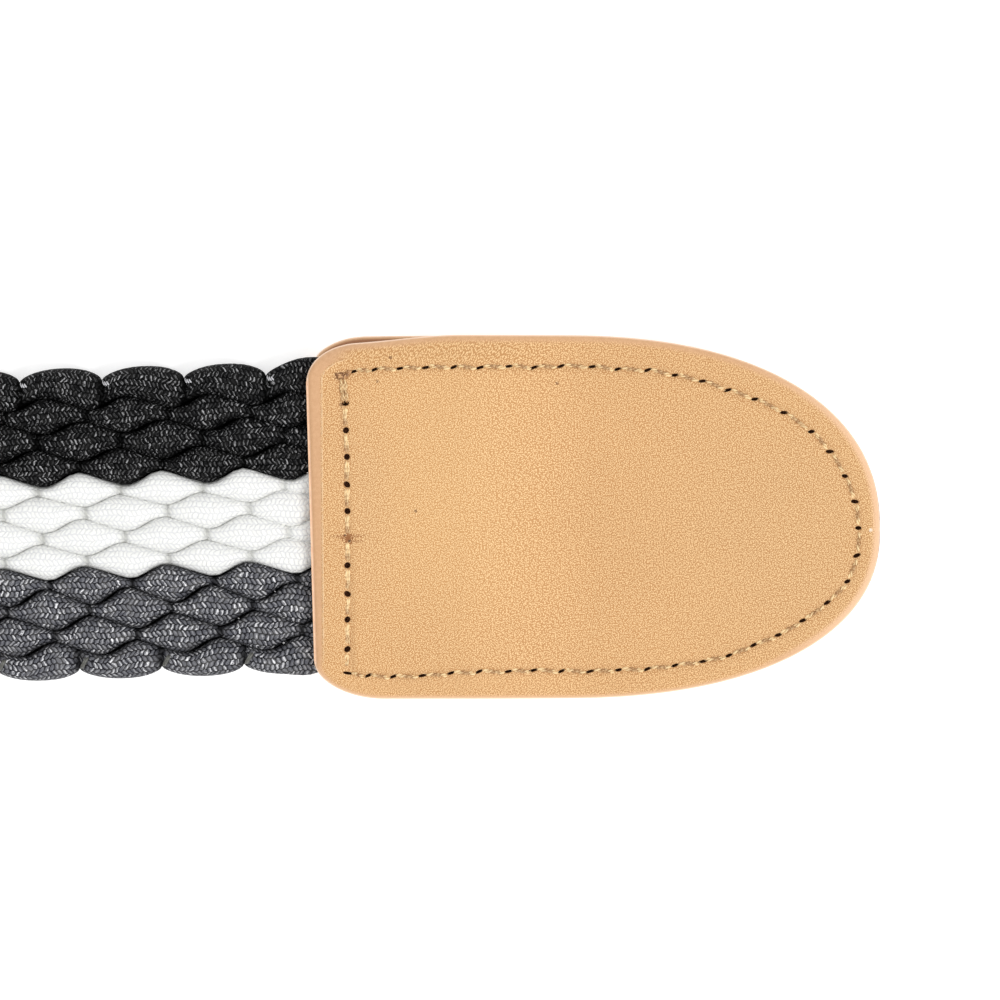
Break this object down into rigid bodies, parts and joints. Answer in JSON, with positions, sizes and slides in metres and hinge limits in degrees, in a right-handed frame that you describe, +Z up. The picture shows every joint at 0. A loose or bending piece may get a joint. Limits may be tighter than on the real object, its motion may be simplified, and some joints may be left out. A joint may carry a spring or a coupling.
{
  "type": "braided belt",
  "caption": "Woven stretch belt of thick elastic cords in black, white and grey bands, with a stitched tan leather tip and a plain buckle end.",
  "frame": {"origin": "middle of the belt's underside as it lies flat and straight", "axes": "+X along the belt towards the leather tip, +Y towards the black edge, +Z up through the face"},
  "size_m": [0.9754, 0.0492, 0.0071],
  "materials": {
    "black_cord": "satin braided elastic cord",
    "white_cord": "satin braided elastic cord",
    "grey_cord": "satin braided elastic cord",
    "tan_leather": "smooth, fine grain",
    "buckle_steel": "satin"
  },
  "bodies": {
    "root": {"black_cords": "black_cord", "white_cords": "white_cord", "grey_cords": "grey_cord", "tip_front_leather": "tan_leather", "tip_back_leather": "tan_leather", "buckle_leather": "tan_leather", "buckle": "buckle_steel"}
  },
  "joints": []
}
